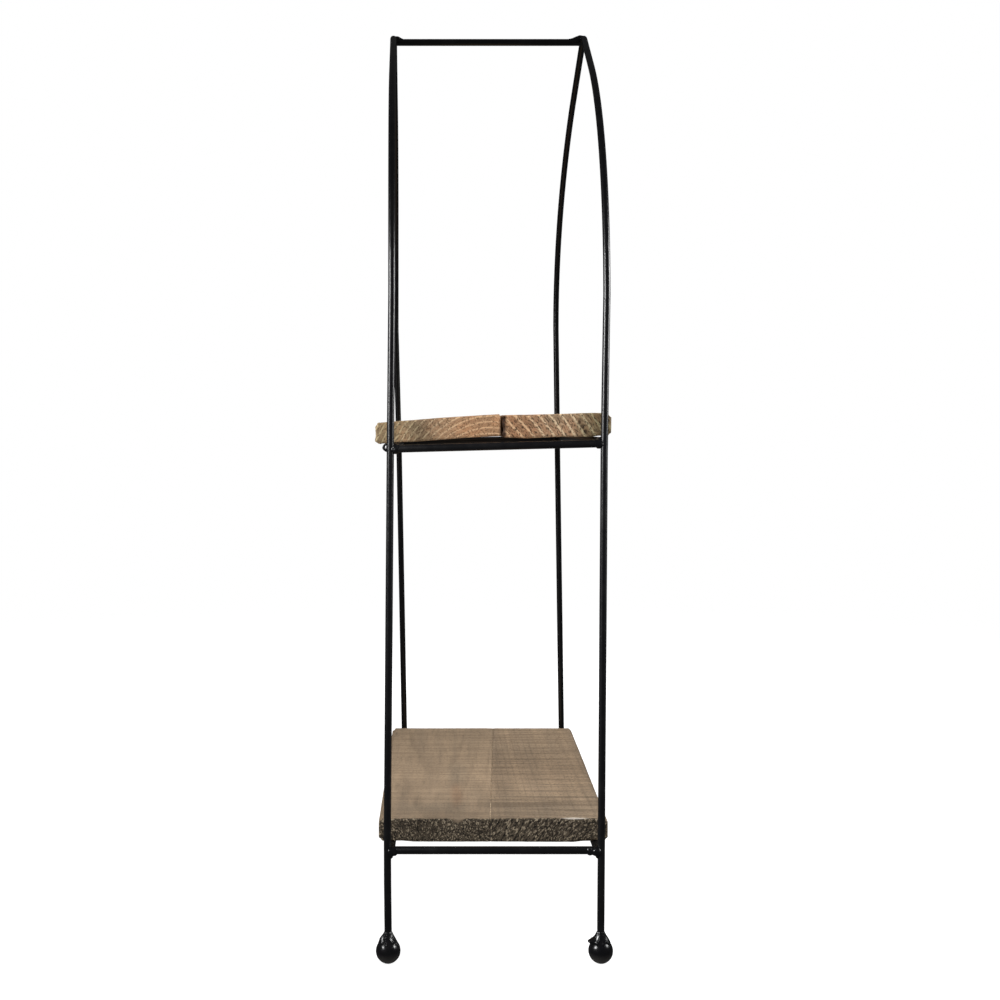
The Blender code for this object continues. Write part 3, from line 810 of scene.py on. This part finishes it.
def board_wood(name, heart, lean, ring_gap, shades, end_shades, saw_show, end_ring, fleck, grain, marks):
    """Wood grown round its heart: rings, fibres along Y, pores on the sawn ends, and saw lines across."""
    material, shader, place = new_finish(name, WOOD_ROUGHNESS)
    shader.inputs["Specular IOR Level"].default_value = WOOD_SHINE
    log = placed(place, heart, lean)
    slow = stretched(log, SLOW_GRAIN)
    fibre = stretched(log, FIBRE_GRAIN)
    sawn = stretched(place, SAW_PATH)
    radius = distance(stretched(log, ACROSS_GRAIN))
    radius = radius + SLOW_BEND * wander(slow, *WOOD_NOISES["slow_bend"])
    radius = radius + QUICK_BEND * wander(slow, *WOOD_NOISES["quick_bend"])
    rings = radius / ring_gap
    ring = rings.maths("FRACT", rings, 0.0)
    late_wood = ramp(ring, *LEVELS["late_wood_in"]) * (1 - ramp(ring, *LEVELS["late_wood_out"]))

    bands = ramp(cloud(fibre, *WOOD_NOISES["bands"]), *LEVELS["bands"])
    tint = mixed(bands, shades["light"], shades["dark"])
    late_patches = ramp(cloud(slow, *WOOD_NOISES["late_patches"]), *LEVELS["late_patches"])
    tint = mixed(late_wood * late_patches * STRENGTHS["late_wood"], tint, shades["late_wood"])
    streaks = cloud(fibre, *WOOD_NOISES["streaks"])
    tint = mixed((1 - ramp(streaks, *LEVELS["streaks"])) * STRENGTHS["streaks"], tint, shades["streak"])
    fuzz = 1 - ramp(cloud(place, *WOOD_NOISES["fuzz"]), *LEVELS["fuzz"])
    tint = mixed(fuzz * saw_show * STRENGTHS["fuzz"], tint, shades["streak"])
    saw_lines = cloud(sawn, *WOOD_NOISES["saw_lines"])
    saw_waves = cloud(sawn, *WOOD_NOISES["saw_waves"])
    saw = ramp(saw_lines, *LEVELS["saw_lines"]) * STRENGTHS["saw_lines"]
    saw = saw + ramp(saw_waves, *LEVELS["saw_waves"]) * STRENGTHS["saw_waves"]
    tint = mixed((1 - saw) * saw_show * STRENGTHS["saw"], tint, shades["streak"])

    ahead = along(place, "Y") + END_COLOUR_FRAY * wander(place, *WOOD_NOISES["end_colour_edge"])
    near_end = 1 - ramp(ahead, BOARD_NEAR_END + END_COLOUR_FULL, BOARD_NEAR_END + END_COLOUR_DEPTH)
    far_end = ramp(ahead, BOARD_FAR_END - END_COLOUR_DEPTH, BOARD_FAR_END - END_COLOUR_FULL)
    cut_end = near_end + far_end
    pore_count, pore_draw = grain
    turn = log.maths("ARCTAN2", along(log, "X"), along(log, "Z"))
    growth = log.node("ShaderNodeCombineXYZ", {"X": radius, "Y": turn * pore_draw, "Z": along(log, "Y")})
    pores = cloud(growth, pore_count, PORE_DETAIL, PORE_ROUGHNESS)
    grit = cloud(growth, pore_count * GRIT_FINENESS, PORE_DETAIL, PORE_ROUGHNESS)
    end_patches = ramp(cloud(log, *WOOD_NOISES["end_patches"]), *LEVELS["end_patches"])
    cut = mixed(end_patches, end_shades["light"], end_shades["dark"])
    cut = mixed(late_wood * end_ring, cut, end_shades["ring"])
    cut = mixed(ramp(pores, *LEVELS["flecks"]) * fleck, cut, end_shades["fleck"])
    cut = mixed((1 - ramp(grit, *LEVELS["grit"])) * STRENGTHS["grit"], cut, end_shades["grit"])

    whole = mixed(cut_end, tint, cut)
    for spot, size, shade, strength, blend in marks:
        far = distance(placed(place, spot, size=size)) + MARK_FRAY * wander(slow, *WOOD_NOISES["mark_edge"])
        whole = mixed((1 - ramp(far, *LEVELS["mark"])) * strength, whole, shade, blend)
    feed(whole, shader, "Base Color")
    feed(WOOD_ROUGHNESS + STREAK_ROUGHNESS * streaks, shader, "Roughness")
    height = streaks * HEIGHTS["streaks"] + late_wood * HEIGHTS["late_wood"]
    height = height + saw_lines * HEIGHTS["saw_lines"] * (1 - cut_end) + pores * HEIGHTS["pores"] * cut_end
    relief(height, shader, WOOD_RELIEF, WOOD_RELIEF_STRENGTH)
    return material


lower_left_wood = board_wood(
    "grey_brown_wood_left", heart=(-0.051, 0.117, 0.058), lean=(math.radians(3), 0, 0), ring_gap=0.0085,
    shades=LOWER_SHADES, end_shades=LOWER_END_SHADES, saw_show=0.5, end_ring=0.3, fleck=1.0,
    grain=FINE_GRAIN, marks=LOWER_LEFT_MARKS,
)
lower_right_wood = board_wood(
    "grey_brown_wood_right", heart=(0.15, 0.0, 0.03), lean=(0, 0, math.radians(1)), ring_gap=0.0048,
    shades=LOWER_SHADES, end_shades=LOWER_END_SHADES, saw_show=0.75, end_ring=0.8, fleck=0.85,
    grain=SLANT_GRAIN, marks=LOWER_RIGHT_MARKS,
)
for side, wood, saw_depth, chips in (
    ("left", lower_left_wood, LEFT_SAW_DEPTH, LOWER_LEFT_CHIPS),
    ("right", lower_right_wood, RIGHT_SAW_DEPTH, LOWER_RIGHT_CHIPS),
):
    node = f"lower_shelf_{side}_plank"
    board = weathered_board(node, saw_depth, chips, LOWER_WARP, -SIDES[side])
    add_piece(board, node + "_board", wood, "grey_brown_wood", node)

# The glue line of the lower shelf: a thin seam of glue and dust that fills the joint between its two boards.
# It follows the joint, which runs off square, and follows the boards' warp at the near end.
GLUE_WIDTH = 0.0018
GLUE_INSET = 0.0006
GLUE_CUTS = 60
GLUE_LUMPS = (0.0003, 120)
GLUE_TOP_LIFT = 0.0001
GLUE_TOP_WARP = 0.0011
GLUE_UNDER_DROP = 0.0002
GLUE_UNDER_WARP = 0.0007
GLUE_ROUGHNESS = 0.8
GLUE_DARK = (0.05, 0.038, 0.027, 1)
GLUE_DUST = (0.28, 0.205, 0.135, 1)
GLUE_PALE = (0.42, 0.32, 0.21, 1)
GLUE_TOP_DEPTH = 0.002
GLUE_PATCHES = (300, 3)
GLUE_LEVELS = (0.4, 0.6)
old_glue, glue_shader, glue_place = new_finish("old_glue", GLUE_ROUGHNESS)
low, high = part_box("lower_shelf_left_plank")
glue_top = ramp(along(glue_place, "Z"), high.z - GLUE_TOP_DEPTH, high.z)
glue_tint = mixed(ramp(cloud(glue_place, *GLUE_PATCHES), *GLUE_LEVELS), GLUE_DUST, GLUE_PALE)
feed(mixed(glue_top, GLUE_DARK, glue_tint), glue_shader, "Base Color")
joint_points = [vertex.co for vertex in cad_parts["lower_shelf_right_plank"].data.vertices]
joint_near = min(point.x for point in joint_points if point.y < BOARD_NEAR_END + BOARD_VOXEL)
joint_far = min(point.x for point in joint_points if point.y > BOARD_FAR_END - BOARD_VOXEL)
let_go()
bpy.ops.mesh.primitive_cube_add(size=1, location=((joint_near + joint_far) / 2, 0, (low.z + high.z) / 2))
bpy.ops.transform.resize(value=(GLUE_WIDTH, high.y - low.y - 2 * GLUE_INSET, high.z - low.z - 2 * GLUE_INSET))
seam = bpy.context.object
settle(seam)
bpy.ops.object.mode_set(mode="EDIT")
bpy.ops.mesh.select_all(action="SELECT")
bpy.ops.mesh.subdivide(number_cuts=GLUE_CUTS)
bpy.ops.object.mode_set(mode="OBJECT")


def glued(spot, facing):
    """The seam follows the slanted joint, and its glue stands a little up or down."""
    slant = (joint_far - joint_near) * spot.y / (high.y - low.y)
    fade = max(0.0, (BOARD_NEAR_END + WARP_LENGTH - spot.y) / WARP_LENGTH)
    if facing.z > 0:
        lift = GLUE_TOP_LIFT + GLUE_TOP_WARP * fade
    else:
        lift = -GLUE_UNDER_DROP - GLUE_UNDER_WARP * fade
    return spot + Vector((slant, 0, lift)) + facing * lumps(spot, *GLUE_LUMPS)


reshape(seam, glued)
add_piece(seam, "lower_shelf_glue_line", old_glue, "grey_brown_wood")

# The upper shelf: two boards of the same kind, left a warmer brown and cupped into a shallow roof. The glue
# line has opened at the near end, with a splinter gone from the top, and the right board has split along a
# ring.
UPPER_SAW_DEPTH = 0.0001
LONG_GRAIN = (600, 0.05)
UPPER_SHADES = {
    "light": (0.5, 0.33, 0.19, 1), "dark": (0.36, 0.25, 0.16, 1), "late_wood": (0.3, 0.19, 0.115, 1),
    "streak": (0.2, 0.13, 0.08, 1),
}
LEFT_END_SHADES = {
    "light": (0.45, 0.27, 0.15, 1), "dark": (0.32, 0.215, 0.13, 1), "fleck": (0.66, 0.48, 0.3, 1),
    "grit": (0.19, 0.12, 0.07, 1), "ring": (0.62, 0.45, 0.28, 1),
}
RIGHT_END_SHADES = {
    "light": (0.38, 0.22, 0.125, 1), "dark": (0.27, 0.18, 0.108, 1), "fleck": (0.6, 0.44, 0.28, 1),
    "grit": (0.07, 0.047, 0.03, 1), "ring": (0.7, 0.53, 0.34, 1),
}
OLIVE_TINT = (0.58, 0.66, 0.6, 1)
RED_TINT = (1.0, 0.84, 0.74, 1)
DARK_TINT = (0.64, 0.62, 0.58, 1)
CRACK_TINT = (0.12, 0.09, 0.07, 1)
JOINT_CRACK = ((0.0086, -0.174, 0.459), (0.0036, 0.01, 0.017), CRACK_TINT, 1.0, "MULTIPLY")
JOINT_WEDGE = ((0.0092, -0.174, 0.4715), (0.0044, 0.01, 0.0046), CRACK_TINT, 1.0, "MULTIPLY")
UPPER_LEFT_MARKS = [
    ((-0.1, -0.174, 0.46), (0.045, 0.06, 0.03), OLIVE_TINT, 0.8, "MULTIPLY"),
    ((-0.012, -0.174, 0.465), (0.04, 0.03, 0.03), RED_TINT, 0.8, "MULTIPLY"),
    JOINT_CRACK,
]
UPPER_RIGHT_MARKS = [
    ((0.097, -0.174, 0.465), (0.03, 0.06, 0.03), OLIVE_TINT, 1.0, "MULTIPLY"),
    ((0.101, -0.174, 0.463), (0.021, 0.03, 0.03), DARK_TINT, 0.9, "MULTIPLY"),
    ((0.02, -0.174, 0.465), (0.03, 0.03, 0.03), RED_TINT, 0.9, "MULTIPLY"),
    ((0.0755, -0.174, 0.467), (0.0022, 0.01, 0.0026), CRACK_TINT, 0.8, "MULTIPLY"),
    ((0.0782, -0.174, 0.4635), (0.0022, 0.01, 0.0028), CRACK_TINT, 0.8, "MULTIPLY"),
    ((0.081, -0.174, 0.459), (0.0024, 0.01, 0.003), CRACK_TINT, 0.8, "MULTIPLY"),
    JOINT_CRACK,
    JOINT_WEDGE,
]

# A chip of a negative depth is a corner that stands proud.
UPPER_LEFT_CHIPS = [
    ((0.0055, -0.174, 0.4735), 0.005, 0.0015), ((-0.1038, -0.174, 0.449), 0.007, -0.0014),
    ((-0.1038, -0.174, 0.467), 0.006, -0.0007),
]
UPPER_RIGHT_CHIPS = [
    ((0.0095, -0.174, 0.4745), 0.0055, 0.0035), ((0.0085, -0.174, 0.462), 0.004, 0.0014),
    ((0.0085, -0.174, 0.456), 0.003, 0.0012),
]
UPPER_LEFT_WARP = [
    (-0.104, 0.0007, -0.0002), (-0.085, 0.0007, -0.0003), (-0.07, 0.0006, -0.0012), (0.0075, 0.0007, -0.0012),
]
UPPER_RIGHT_WARP = [
    (0.0075, -0.0001, -0.0018), (0.03, -0.0006, -0.0028), (0.055, -0.0005, -0.0013), (0.085, 0.0007, -0.0007),
    (0.094, 0.0007, 0.001), (0.104, 0.0005, 0.001),
]
upper_left_wood = board_wood(
    "warm_brown_wood_left", heart=(-0.003, 0.0, 0.4077), lean=(0, 0, 0), ring_gap=0.005, shades=UPPER_SHADES,
    end_shades=LEFT_END_SHADES, saw_show=0.5, end_ring=0.95, fleck=0.3, grain=LONG_GRAIN,
    marks=UPPER_LEFT_MARKS,
)
upper_right_wood = board_wood(
    "warm_brown_wood_right", heart=(-0.125, 0.0, 0.328), lean=(0, 0, 0), ring_gap=0.0076, shades=UPPER_SHADES,
    end_shades=RIGHT_END_SHADES, saw_show=0.5, end_ring=0.9, fleck=0.35, grain=SHORT_GRAIN,
    marks=UPPER_RIGHT_MARKS,
)
for side, wood, chips, warp in (
    ("left", upper_left_wood, UPPER_LEFT_CHIPS, UPPER_LEFT_WARP),
    ("right", upper_right_wood, UPPER_RIGHT_CHIPS, UPPER_RIGHT_WARP),
):
    node = f"upper_shelf_{side}_plank"
    board = weathered_board(node, UPPER_SAW_DEPTH, chips, warp)
    add_piece(board, node + "_board", wood, "warm_brown_wood", node)

# The floor: a plain pale sheet under the part. It glows a little and fades out into the pale backdrop, and it
# throws no light back.
FLOOR_RADIUS = 2.4
FLOOR_FACETS = 96
FLOOR_FADE = (0.5, 2.2)
FLOOR_GREY = (0.55, 0.55, 0.55, 1)
FLOOR_ROUGHNESS = 0.9
FLOOR_GLOW = 0.85
WHITE = (1, 1, 1, 1)
let_go()
bpy.ops.mesh.primitive_circle_add(
    vertices=FLOOR_FACETS, radius=FLOOR_RADIUS, fill_type="NGON", location=(0, 0, cad_box[0].z)
)
floor = bpy.context.object
floor.name = "floor"
pale, pale_shader, pale_place = new_finish("pale_floor", FLOOR_ROUGHNESS)
pale_shader.inputs["Base Color"].default_value = FLOOR_GREY
pale_shader.inputs["Specular IOR Level"].default_value = 0
pale_shader.inputs["Emission Color"].default_value = WHITE
pale_shader.inputs["Emission Strength"].default_value = FLOOR_GLOW
feed(1 - ramp(distance(pale_place), *FLOOR_FADE), pale_shader, "Alpha")
floor.data.materials.append(pale)
floor.visible_diffuse = False
floor.visible_glossy = False

# The light: a soft box on each side of the camera, one overhead, one behind, and a dim room. Each box has a
# place, what it aims at, width, watts, spread in degrees, and whether the paint mirrors it.
SOFT_BOXES = {
    "left_soft_box": ((-0.76, -0.62, 0.68), (0.1, -0.34, 0.36), 0.36, 2.1, 62, True),
    "right_soft_box": ((0.82, -0.25, 0.68), (0, -0.34, 0.36), 0.36, 1.6, 62, True),
    "overhead_soft_box": ((0.0, 0.1, 2.2), (0, 0, 0.4), 1.2, 6.4, 180, False),
    "rear_soft_box": ((0.1, 1.3, 1.0), (0, 0, 0.2), 0.9, 10.5, 180, False),
}
for name, (place, aim, width, power, spread, shines) in SOFT_BOXES.items():
    bpy.ops.object.light_add(type="AREA", location=place)
    lamp = bpy.context.object
    lamp.name = name
    lamp.data.shape = "SQUARE"
    lamp.data.size = width
    lamp.data.energy = power
    lamp.rotation_euler = (Vector(aim) - Vector(place)).to_track_quat("-Z", "Y").to_euler()
    lamp.data.spread = math.radians(spread)
    lamp.visible_camera = False
    lamp.visible_glossy = shines

# The room: a white backdrop to the eye, a softer fill on what it lights, and a dim glow in what mirrors it.
BACKDROP_GLOW = 0.94
FILL_GLOW = 0.29
MIRRORED_GLOW = 0.06
world = bpy.data.worlds.new("studio")
bpy.context.scene.world = world
world.use_nodes = True
backdrop = world.node_tree.nodes["Background"]
path = world.node_tree.nodes.new("ShaderNodeLightPath")
seen = Tone(path.outputs["Is Camera Ray"])
scattered = Tone(path.outputs["Is Diffuse Ray"])
feed(seen * BACKDROP_GLOW + scattered * FILL_GLOW + MIRRORED_GLOW, backdrop, "Strength")
backdrop.inputs["Color"].default_value = WHITE
bpy.context.scene.view_settings.view_transform = "Standard"

# The camera stands a little to the left of the part and looks along it, level, from beside the upper shelf.
# Its lens is shifted sideways and down, so that the part stands in the frame without tilting.
CAMERA_PLACE = (-0.0381, -1.3155, 0.463)
CAMERA_LENS = 46.8
SENSOR_WIDTH = 36
LENS_SHIFT = (0.05, -0.073)
SIGHT_RANGE = (0.01, 100)
bpy.ops.object.camera_add(location=CAMERA_PLACE, rotation=(math.radians(90), 0, 0))
camera = bpy.context.object
camera.data.lens = CAMERA_LENS
camera.data.sensor_width = SENSOR_WIDTH
camera.data.shift_x, camera.data.shift_y = LENS_SHIFT
camera.data.clip_start, camera.data.clip_end = SIGHT_RANGE
bpy.context.scene.camera = camera
